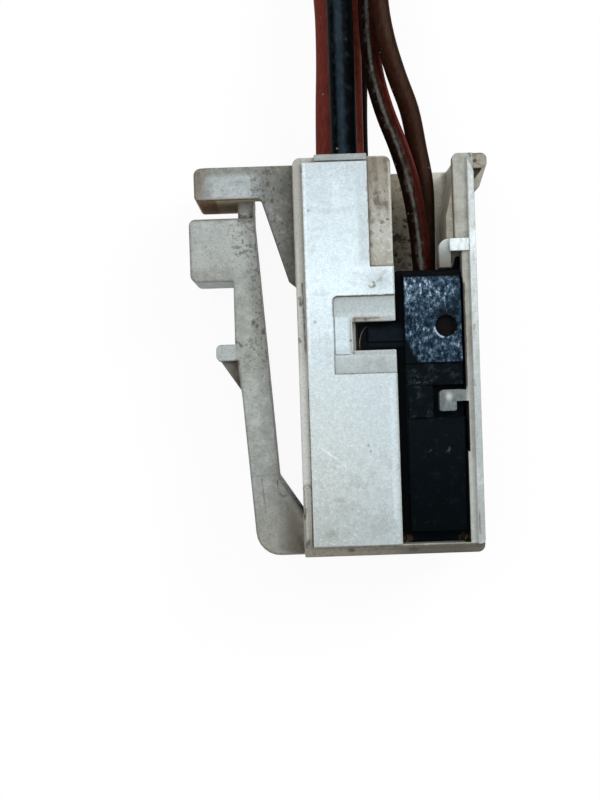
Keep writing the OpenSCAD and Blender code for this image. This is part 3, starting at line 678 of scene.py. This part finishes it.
def paint_channel(f, mottle, fine):
    """Inside the channel, its right wall with the rails, and the ear."""
    channel = f.above(f.x, 8.25, 0.02)
    # Painted light on the channel's deep walls
    f.layer((channel, f.below(f.z, 11.5, 0.3)),
            f.mix(f.ramp(mottle, 0.4, 0.6), (206, 201, 184), (184, 178, 160)))
    # Painted light on the floor's right part and painted shadow of the wires on its left part, where
    # dirt blotches lie too
    floor = f.times(f.area(8.2, 13.5, 23.4, 33.5, 0.2), f.below(f.z, 4, 0.5))
    f.layer(floor, f.grade(f.x, FLOOR_PAINTED_LIGHT_AND_SHADOW))
    left = f.times(floor, f.below(f.x, 11, 0.4))
    f.layer((left, f.ramp(f.noise(1.2, 6, 0.8), 0.5, 0.6)), (92, 82, 66), 0.7)
    f.layer((left, f.ramp(f.noise(0.8, 6, 0.8), 0.55, 0.59)), (34, 25, 19), 0.9)
    f.layer((floor, f.blot(11.6, 30.6, 0.2, 0.25)), (90, 82, 68), 0.7)
    # The low parts of the right wall: the upper rail's leg and the lower rail's hook
    low = f.times(channel, f.below(f.z, 13.8, 0.05), f.above(f.z, 11.5, 0.3))
    f.layer(low, f.mix(f.ramp(mottle, 0.4, 0.62), (168, 170, 161), (148, 147, 136)))
    f.layer((low, f.above(f.x, 14), f.below(f.y, 16, 1)), (176, 182, 180), 0.7)
    # The leg darkens to brown towards its foot: painted shade
    f.layer((low, f.area(11.7, 13.2, 23, 26.3)), f.grade(f.y, LEG_PAINTED_SHADE))
    # The hook is painted in shade, darker on its left leg, with a painted highlight at its centre
    hook = f.times(low, f.area(11.2, 13.9, 11.5, 14))
    f.layer(hook, f.mix(f.ramp(fine, 0.35, 0.65), (120, 129, 131), (92, 98, 98)))
    f.layer((hook, f.below(f.wavy_x, 12, 0.15)), (84, 90, 90), 0.6)
    f.layer((low, f.blot(12.45, 13.1, 0.25, 0.35, 0.8)), (196, 206, 206), 0.7)
    f.line([(11.3, 13.5), (13.9, 13.5)], 0.35, (122, 124, 116), 0.7, low)
    f.line([(13.38, 32.6), (13.38, 25.2)], 0.09, (110, 62, 50), 0.6, low)
    f.line([(14.2, 22), (14.25, 15), (14.3, 8)], 0.14, (146, 140, 126), 0.6, low)
    # The rib along the wall's front
    raised = f.times(channel, f.above(f.z, 13.8, 0.05))
    f.layer(raised, f.grade(f.y, RIB_SHADES))
    streaks = f.noise(2.6, 4, 0.7, stretch=(1.4, 0.5, 1))
    f.layer((raised, f.ramp(streaks, 0.46, 0.66)), (160, 162, 154), 0.5)
    f.layer((raised, f.ramp(mottle, 0.5, 0.34)), (224, 230, 230), 0.4)
    for points in ([(14.6, 3.5), (14.65, 1.6)], [(14.55, 14.4), (14.6, 13.9)],
                   [(14.75, 19), (14.7, 18.6)]):
        f.line(points, 0.12, (108, 102, 90), 0.7)
    ear = f.above(f.x, 15.05, 0.05)
    f.layer((ear, f.above(f.y, 29.5, 0.3)),
            f.mix(f.ramp(fine, 0.4, 0.65), (158, 153, 141), (134, 126, 111)))
    f.layer((ear, f.band(f.z, 12.3, 12.9), f.band(f.y, 26, 32.2), f.above(f.facing_z, 0.5)),
            (66, 56, 44), 0.9)
    # Painted deep shade in the gap beside the insert, and painted light on the inner side of the rib
    f.layer((low, f.band(f.wavy_x, 13.5, 14.08, 0.03), f.band(f.y, 13.8, 22.6, 0.2)),
            (30, 24, 19), 0.9)
    inward = f.below(f.facing_x, -0.5)
    f.layer((inward, f.band(f.x, 13.5, 14.4), f.below(f.y, 23)), (24, 19, 15), 0.9)
    f.layer((inward, f.band(f.x, 14.45, 14.9), f.above(f.z, 12)), (214, 218, 216), 0.9)
    # Marks at the ear
    f.layer(f.blot(15.3, 32.72, 0.2, 0.15), SOOT_AND_SHADE, 0.95)
    f.line([(14.75, 33.45), (14.9, 33.1)], 0.16, SOOT_AND_SHADE, 0.85)
    f.line([(15, 33.3), (16.2, 33.35)], 0.08, BROWN, 0.8)
    f.line([(15.5, 32.5), (15.9, 32.2), (16.3, 32.3)], 0.16, BROWN, 0.7)


def paint_outside(f, mottle):
    """The right side, the rear and the mating face, which were not seen: evenly soiled."""
    outside = f.most(f.times(f.above(f.facing_x, 0.7), f.above(f.x, 14.9)),
                     f.below(f.facing_z, -0.7),
                     f.times(f.below(f.facing_y, -0.7), f.below(f.y, 0.3)))
    f.layer(outside, f.mix(f.ramp(mottle, 0.25, 0.75), (178, 179, 171), (162, 161, 151)))
    f.layer((outside, f.spots(2.2, 0.1, 0.2, keep=0.3)), (128, 122, 108), 0.5)


def paint_mating_end(f, fine):
    """The lip across the mating end, in painted shade, darker to the right."""
    lip = f.times(f.below(f.wavy_y, 0.75, 0.06), f.below(f.z, 13.8, 0.06))
    f.layer((lip, f.above(f.facing_z, 0.5, 0.3)), f.grade(f.x, END_PAINTED_SHADE))
    f.layer((lip, f.ramp(fine, 0.48, 0.64)), (82, 76, 66), 0.5)
    f.line([(3.6, 0.45), (15, 0.5)], 0.07, SOOT_AND_SHADE, 0.5)
    f.layer(f.blot(3.9, 0.5, 0.3, 0.16), SOOT_AND_SHADE, 0.8)
    f.layer(f.blot(9.1, 0.4, 0.4, 0.18), SOOT_AND_SHADE, 0.7)


def nylon(part):
    """Natural nylon on one part of the housing: lighter on high faces, darker on low ones, from dirt and
    painted shade.
    """
    f = Finish("nylon_" + part, roughness=0.42, specular=0.3, wander=0.09, wander_scale=2.4)
    mottle = f.noise(0.9, 5, 0.6)
    fine = f.noise(3.2, 3, 0.6)
    f.tint = f.mix(f.ramp(mottle, 0.35, 0.65), (186, 187, 179), (168, 167, 157))
    if part == "lever":
        paint_lever(f, mottle, fine)
    else:
        paint_strip(f, fine)
        if part == "channel":
            paint_channel(f, mottle, fine)
        else:
            paint_pocket(f, mottle, fine)
            paint_front(f, mottle, fine)
        paint_outside(f, mottle)
        paint_mating_end(f, fine)
    # Painted shade on the rounded edges of the lever and the ear, which turn away from the front
    turned = f.times(f.ramp(f.facing_z, 0.97, 0.6), f.ramp(f.facing_z, 0.08, 0.3))
    f.layer((turned, f.most(f.below(f.x, -0.1, 0.05), f.above(f.x, 15.2, 0.05)), f.patchy),
            (126, 123, 112), 0.55)
    # Brown dirt and painted shade in the corners, where ambient occlusion is high
    crevice = f.add("ShaderNodeAmbientOcclusion", samples=8, only_local=True)
    crevice.inputs["Distance"].default_value = CREVICE_REACH
    patches = f.ramp(f.noise(2.2, 4, 0.7), 0.3, 0.7, 0.4, 1)
    reach = f.most(f.below(f.x, -0.05, 0.05), f.above(f.x, 1), 0.3)
    f.layer((f.ramp(crevice.outputs["AO"], 0.92, 0.5), patches, reach, f.below(f.x, 14)),
            (84, 74, 61), 0.4)
    grain = f.noise(7, 3, 0.7)
    f.vary(fine, 0.93, 1.05)
    f.vary(grain, 0.88, 1.08)
    f.put(f.surface.inputs["Roughness"], f.ramp(mottle, 0.3, 0.7, 0.38, 0.52))
    f.surface.inputs["Subsurface Weight"].default_value = 0.12
    f.surface.inputs["Subsurface Radius"].default_value = NYLON_DEPTHS
    f.bump(f.plus(f.times(grain, 0.3), f.times(fine, 0.6)), 0.03, 0.6)
    return f.done()


# ---- black plastic, wires and metal

# The insert is a little lighter from y 10 to 14: painted sheen
INSERT_SHADES = ((1, 2, 7, 10), (6, 4, 10, 14), (10, 8, 15, 19), (14, 8, 15, 19), (23, 10, 13, 15))
FROST_AND_GLINTS = ((0.35, 12, 22, 31), (0.45, 29, 45, 58), (0.53, 57, 77, 94), (0.6, 96, 119, 140),
         (0.7, 196, 209, 221))


def black_plastic():
    """The insert's near-black plastic, with a frosted panel in painted glints."""
    f = Finish("black_plastic", roughness=0.42, specular=0.02, wander=0.06, wander_scale=2)
    dust = f.noise(1.3, 6, 0.75)
    f.tint = f.grade(f.y, INSERT_SHADES)
    front = f.above(f.z, 12.7)
    f.layer((front, f.ramp(dust, 0.52, 0.75)), (26, 34, 38), 0.6)
    middle = f.times(front, f.area(8.9, 13.9, 11.3, 15.9))
    f.layer((middle, f.ramp(dust, 0.5, 0.66)), (42, 52, 58), 0.6)
    # The frosted panel leaves its lower left corner smooth
    corner = f.plus(f.times(f.minus(f.wavy_x, 9.1), 1.9), f.minus(f.wavy_y, 15.9))
    panel = f.times(f.area(9, 13.74, 16, 23.15, 0.05), front, f.ramp(corner, 1.6, 2.4))
    # The panel's colour is painted glints: light specks of reflection, brightest at the top left and in
    # the middle, darker to the right
    frost_and_glints = f.noise(2.7, 4, 0.75, stretch=(1.25, 0.8, 1))
    glints = f.noise(2.2, 2, 0.6, stretch=(1.6, 0.5, 1))
    level = f.plus(
        f.times(frost_and_glints, 0.96), f.times(f.ramp(glints, 0.56, 0.7), f.above(f.y, 19.5, 1), 0.08),
        f.times(f.blot(11, 21.4, 2.2, 2, 0.9), 0.05), f.times(f.area(9.1, 10, 20.9, 23.1), 0.035),
        f.times(f.above(f.wavy_x, 12.9, 0.5), f.above(f.y, 19, 1), -0.05),
        f.times(f.blot(11, 19.7, 2.4, 0.8, 0.8), -0.06))
    f.layer(panel, f.grade(level, FROST_AND_GLINTS))
    f.line([(9.1, 20.9), (9.9, 20.95)], 0.1, (16, 28, 38), 0.8, panel)
    recess = f.times(f.blot(12.44, 19, 0.92, 0.92, 0.06), f.below(f.z, 13.38, 0.04))
    f.layer(recess, f.mix(f.ramp(dust, 0.4, 0.6), (24, 18, 15), (14, 16, 18)))
    # Painted shade above the hole
    f.layer(f.blot(12.35, 20.15, 0.95, 0.6, 0.6), (14, 22, 30), 0.85)
    # A painted highlight on the hole's lower left rim
    f.layer((f.ring(12.44, 19, 0.97, 0.14), f.below(f.wavy_x, 12.2), f.below(f.wavy_y, 18.9)),
            (168, 186, 200), 0.85)
    f.layer((f.area(5.95, 8.9, 17.5, 18.9), f.above(f.z, 12.3)), (16, 25, 32), 0.8)
    lint = f.ramp(f.noise(2.6, 4, 0.75), 0.52, 0.62)
    for x, y, long, tall in ((11.2, 8.5, 0.45, 0.22), (12.3, 8.6, 0.3, 0.25), (9, 5.2, 0.25, 0.08),
                             (10.2, 14.4, 0.8, 0.4)):
        f.layer((f.blot(x, y, long, tall, 0.7), lint), (74, 84, 88), 0.55)
    for x, y in ((8.62, 1.2), (13.55, 1.15)):
        crumbs = f.ramp(f.noise(3, 4, 0.8), 0.42, 0.56)
        f.layer((f.blot(x, y, 0.42, 0.36, 0.6), crumbs), (84, 66, 52), 0.9)
    hair = f.stroke([(5.2, 17.2), (5.17, 17.9), (5.3, 18.5), (5.55, 18.95), (5.8, 19.15)], 0.055)
    f.layer((hair, f.below(f.z, 12.7), f.ramp(f.y, 19.2, 17.6, 0.3, 1)), (150, 138, 120), 0.7)
    f.vary(f.noise(6, 3, 0.7), 0.72, 1.3)
    f.bump(f.plus(f.times(panel, frost_and_glints), f.times(f.noise(7, 2), 0.06)), 0.12, 0.6)
    return f.done()


def underside_shade():
    """A brown finish without any gloss for the undersides of the guard and the pad: painted shade."""
    f = Finish("underside_shade", roughness=0.9, specular=0.06, wander=0.1, wander_scale=2)
    fine = f.noise(3.5, 4, 0.7)
    f.tint = f.mix(f.above(f.wavy_x, -6.6, 0.15), (164, 130, 104), (204, 186, 156))
    f.layer(f.below(f.y, 29, 0.2), (190, 179, 158))
    # Painted shade on its rounded bits that face the front
    f.layer(f.ramp(f.facing_z, 0.03, 0.3), (96, 92, 82), 0.9)
    f.vary(fine, 0.7, 1.3)
    f.bump(fine, 0.04, 0.7)
    return f.done()


def insulation(name, body, worn, highlight=None, stripe=None):
    """Wire insulation. Some have a painted highlight along their top, and a stripe runs along one side.
    """
    f = Finish(name, roughness=0.45, specular=0.02)
    dust = f.noise(1.1, 6, 0.7)
    f.tint = f.mix(f.ramp(dust, 0.35, 0.7), body, worn)
    side = f.plus(f.around, f.noise(2, 3, swing=0.02))
    if stripe:
        f.layer((f.band(side, 0.02, 0.24, 0.03), f.ramp(dust, 0.28, 0.5, 0.4, 1)),
                (58, 22, 15), 0.7)
        f.layer((f.band(side, 0.03, 0.13, 0.025), f.ramp(f.y, 28, 36, 0.1, 1),
                        f.ramp(dust, 0.3, 0.5, 0.4, 1)), stripe, 0.9)
    # A painted highlight along the top, broken up, with a fainter painted sheen beside it
    if highlight:
        shade, centre, width = highlight
        off = f.math("ABSOLUTE", f.minus(side, centre))
        highlight_gaps = f.ramp(f.noise(0.7, 5, 0.75), 0.4, 0.56, 0.35 if stripe else 0.75, 1)
        f.layer((f.ramp(off, width, width / 5), highlight_gaps), shade, 0.85)
        f.layer((f.ramp(off, 2.5 * width, width), f.ramp(dust, 0.5, 0.62)), shade, 0.35)
    streaks = f.noise(3, 4, 0.7, stretch=(3, 0.35, 3))
    f.vary(streaks, 0.75, 1.25)
    f.layer(f.spots(1, 0.07, 0.07, keep=0.25), (150, 146, 134), 0.6)
    f.bump(f.plus(f.times(streaks, 0.4), f.noise(1.2, 3)), 0.03, 0.6)
    return f.done()


def metal(name, body, dull, roughness):
    f = Finish(name, roughness, specular=0.5)
    f.surface.inputs["Metallic"].default_value = 1
    f.tint = f.mix(f.noise(1.5, 5, 0.7), body, dull)
    f.bump(f.noise(8, 3), 0.01, 0.5)
    return f.done()


def finishes():
    return {
        "nylon_block": nylon("block"),
        "nylon_lever": nylon("lever"),
        "nylon_channel": nylon("channel"),
        "underside_shade": underside_shade(),
        "black_plastic": black_plastic(),
        "tinned_brass": metal("tinned_brass", (196, 192, 180), (140, 134, 118), 0.32),
        "spring_steel": metal("spring_steel", (170, 172, 175), (120, 122, 124), 0.3),
        "copper": metal("copper", (206, 128, 88), (140, 82, 56), 0.35),
        "black": insulation("black_insulation", (2, 3, 4), (4, 6, 8),
                            highlight=((40, 52, 61), 0.28, 0.075)),
        "red_left": insulation("red_insulation", (112, 50, 42), (106, 47, 40)),
        # The right red wire's copy of the red insulation is lighter: painted light
        "red_right": insulation("red_insulation_painted_light", (136, 62, 47), (112, 50, 38)),
        "dark_brown": insulation("dark_brown_insulation", (14, 5, 2), (20, 8, 4)),
        "brown": insulation("brown_insulation", (46, 25, 15), (30, 13, 7),
                            highlight=((64, 46, 37), 0.2, 0.09)),
        "striped": insulation("striped_insulation", (16, 6, 3), (30, 16, 11),
                              highlight=((88, 88, 84), 0.28, 0.042), stripe=(104, 40, 34)),
    }


NODE_SLOTS = {"housing": "natural_nylon", "insert": "black_plastic", "contact": "tinned_brass",
              "spring": "spring_steel", "core": "copper"}


# ---- mouldings

SHARP = math.radians(30)      # turn past which an edge gets rounded
WELD = 0.001 * MM
FLAT = math.radians(2)        # faces that turn less than this are one face
ROOM_SHARE = 0.9              # share of the room beside an edge that its rounding takes
ROUNDING_STEPS = 3
LEAST_ROUNDING = 0.01 * MM    # edges with room for less stay sharp
KNIFE = math.radians(120)     # edges that turn more than this stay sharp


def crossing_depths(face, loop, along, inward, length):
    """How far in from an edge of a face the rest of its outline lies, beside that edge."""
    start = loop.vert.co
    for other in face.loops:
        ends = [other.vert, other.link_loop_next.vert]
        if loop.vert in ends or loop.link_loop_next.vert in ends:
            continue
        (t0, h0), (t1, h1) = [((v.co - start).dot(along), (v.co - start).dot(inward)) for v in ends]
        if max(t0, t1) < 0 or min(t0, t1) > length:
            continue
        for t in (0, length):
            if (t0 - t) * (t1 - t) < 0:
                yield h0 + (h1 - h0) * (t - t0) / (t1 - t0)
        yield from (h for t, h in ((t0, h0), (t1, h1)) if 0 <= t <= length)


def room(edge, sharp):
    """The widest rounding that the two faces of an edge have room for."""
    width, length = 1.0, edge.calc_length()
    for face in edge.link_faces:
        loop = next(loop for loop in face.loops if loop.edge == edge)
        along = (loop.link_loop_next.vert.co - loop.vert.co).normalized()
        inward = face.normal.cross(along)
        taken = 0.0
        for corner, neighbour in ((loop, loop.link_loop_prev.edge),
                                  (loop.link_loop_next, loop.link_loop_next.edge)):
            if corner.is_convex and neighbour in sharp:
                taken += math.tan((math.pi - corner.calc_angle()) / 2)
        if taken:
            width = min(width, length / taken)
        depths = [h for h in crossing_depths(face, loop, along, inward, length) if h > WELD]
        width = min([width] + [h / 2 for h in depths])
    return width * ROOM_SHARE


def rounded_copy(node, width_at):
    """A copy of a CAD node with its outer edges rounded. width_at gives an edge's width in mm."""
    bm = bmesh.new()
    bm.from_mesh(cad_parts[node].data)
    bmesh.ops.remove_doubles(bm, verts=bm.verts, dist=WELD)
    bmesh.ops.dissolve_limit(bm, angle_limit=FLAT, verts=bm.verts, edges=bm.edges,
                             use_dissolve_boundaries=False)
    bm.normal_update()
    weight = bm.edges.layers.float.new("bevel_weight_edge")
    turns = {edge: edge.calc_face_angle_signed() for edge in bm.edges if len(edge.link_faces) == 2}
    sharp = {edge for edge, turn in turns.items() if turn > SHARP}
    for edge, turn in turns.items():
        if turn < -SHARP:
            edge.smooth = False
    widest = max(WIDTHS[node].values())
    for edge in sharp:
        x, y, z = (edge.verts[0].co + edge.verts[1].co) / 2 / MM
        width = min(width_at(x - BLOCK_X / MM, y - MATING_Y / MM, z) * MM, room(edge, sharp))
        if width < LEAST_ROUNDING or turns[edge] > KNIFE:
            edge.smooth = False
        else:
            edge[weight] = width / (widest * MM)
    piece = new_piece(node + "_moulding", bm)
    bevel = piece.modifiers.new("rounding", "BEVEL")
    bevel.limit_method = "WEIGHT"
    bevel.width = widest * MM
    bevel.segments = ROUNDING_STEPS
    bevel.use_clamp_overlap = False
    shading = piece.modifiers.new("shading", "WEIGHTED_NORMAL")
    shading.keep_sharp = True
    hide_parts(node)
    return piece


CHANNEL_X = 8.2     # left side of the channel in mm

# Widths of rounded edges in mm
WIDTHS = {"housing": {"fine": 0.08, "plain": 0.12, "soft": 0.25}, "insert": {"fine": 0.08}}


def housing_edge(x, y, z):
    widths = WIDTHS["housing"]
    if x < -5.2 and 16 < y < 18.4:      # the catch
        return widths["fine"]
    if x < -0.1:                        # the lever and the guard
        return widths["soft"]
    return widths["fine"] if z > 13 or x > CHANNEL_X else widths["plain"]


# ---- studio

AIM = (0, 0, 0.007)                 # what the lights point at
LIGHTS = {"key": ((0.2, 0.16, 0.3), 0.16, 0.62),        # place and side in metres, watts
          "overhead": ((-0.14, 0.1, 0.5), 0.3, 0.9)}


def add_lights():
    for name, (place, side, watts) in LIGHTS.items():
        data = bpy.data.lights.new(name, "AREA")
        data.size = side
        data.energy = watts
        light = add_object(name, data)
        light.location = place
        light.rotation_euler = (Vector(AIM) - Vector(place)).to_track_quat("-Z", "Y").to_euler()


WHITE = (1, 1, 1, 1)
PAPER_GLOW = 0.93                   # share of the floor's white that shadows leave alone
FLOOR_GREY = (0.5, 0.5, 0.5, 1)     # what the floor sends back onto the object
FLOOR_DROP = 0.02 * MM              # below what lies on it
FLOOR_REACH = 2                     # from its middle to its sides, in metres
SKY = (0.95, 0.98, 1, 1)
HORIZON, ZENITH = 0.28, 0.62        # strength of the fill, from the sides and from above


def add_floor():
    bm = bmesh.new()
    bmesh.ops.create_grid(bm, x_segments=1, y_segments=1, size=FLOOR_REACH)
    floor = add_object("floor", as_mesh("floor", bm))
    floor.location.z = -FLOOR_DROP
    material = bpy.data.materials.new("floor")
    nodes = Nodes(material, "ShaderNodeOutputMaterial")
    matt = nodes.result("ShaderNodeBsdfDiffuse", FLOOR_GREY)
    white = nodes.result("ShaderNodeBsdfDiffuse", WHITE)
    glow = nodes.result("ShaderNodeEmission", WHITE)
    paper = nodes.result("ShaderNodeMixShader", PAPER_GLOW, white, glow)
    # The plain white meets camera, glossy and transmission rays
    path = nodes.add("ShaderNodeLightPath").outputs
    direct = nodes.math("MAXIMUM", path["Is Camera Ray"], path["Is Glossy Ray"])
    direct = nodes.math("MAXIMUM", direct, path["Is Transmission Ray"])
    nodes.put(nodes.output.inputs[0], nodes.result("ShaderNodeMixShader", direct, matt, paper))
    floor.data.materials.append(material)


def add_world():
    world = bpy.data.worlds.new("studio")
    nodes = Nodes(world, "ShaderNodeOutputWorld")
    height = nodes.split(nodes.add("ShaderNodeTexCoord").outputs["Generated"])[2]
    strength = nodes.result("ShaderNodeMapRange", height, 0.1, 1, HORIZON, ZENITH)
    fill = nodes.result("ShaderNodeBackground", SKY, strength)
    back = nodes.result("ShaderNodeBackground", WHITE)
    seen = nodes.add("ShaderNodeLightPath").outputs["Is Camera Ray"]
    nodes.put(nodes.output.inputs[0], nodes.result("ShaderNodeMixShader", seen, fill, back))
    bpy.context.scene.world = world


# ---- assembly

def dress(piece, *materials):
    piece.data.materials.clear()
    for material in materials:
        piece.data.materials.append(material)


def dress_housing(piece, looks):
    """Its own finish for the lever's side, the channel's side and the guard's underside, the last in
    painted shade.
    """
    order = ["nylon_block", "nylon_lever", "nylon_channel", "underside_shade"]
    dress(piece, *(looks[name] for name in order))
    for face in piece.data.polygons:
        x, y = (face.center.x - BLOCK_X) / MM, (face.center.y - MATING_Y) / MM
        if x < -4 and y > 24 and face.normal.y < -0.9:      # under the guard and the pad
            look = "underside_shade"
        else:
            look = "nylon_lever" if x < -0.02 else "nylon_channel" if x > CHANNEL_X else "nylon_block"
        face.material_index = order.index(look)


add_camera()
wires = {name: add_wire(name) for name in WIRES}
housing = rounded_copy("housing", housing_edge)
insert = rounded_copy("insert", lambda x, y, z: WIDTHS["insert"]["fine"])

looks = finishes()
for name, (wire, strands) in wires.items():
    dress(wire, looks[name])
    dress(strands, looks["copper"])
dress_housing(housing, looks)
dress(insert, looks["black_plastic"])
for name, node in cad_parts.items():
    kind = name.split("_")[0]
    if kind in ("contact", "spring", "core"):
        dress(node, looks[NODE_SLOTS[kind]])
add_floor()
add_world()
add_lights()

bpy.context.scene.view_settings.view_transform = "Standard"
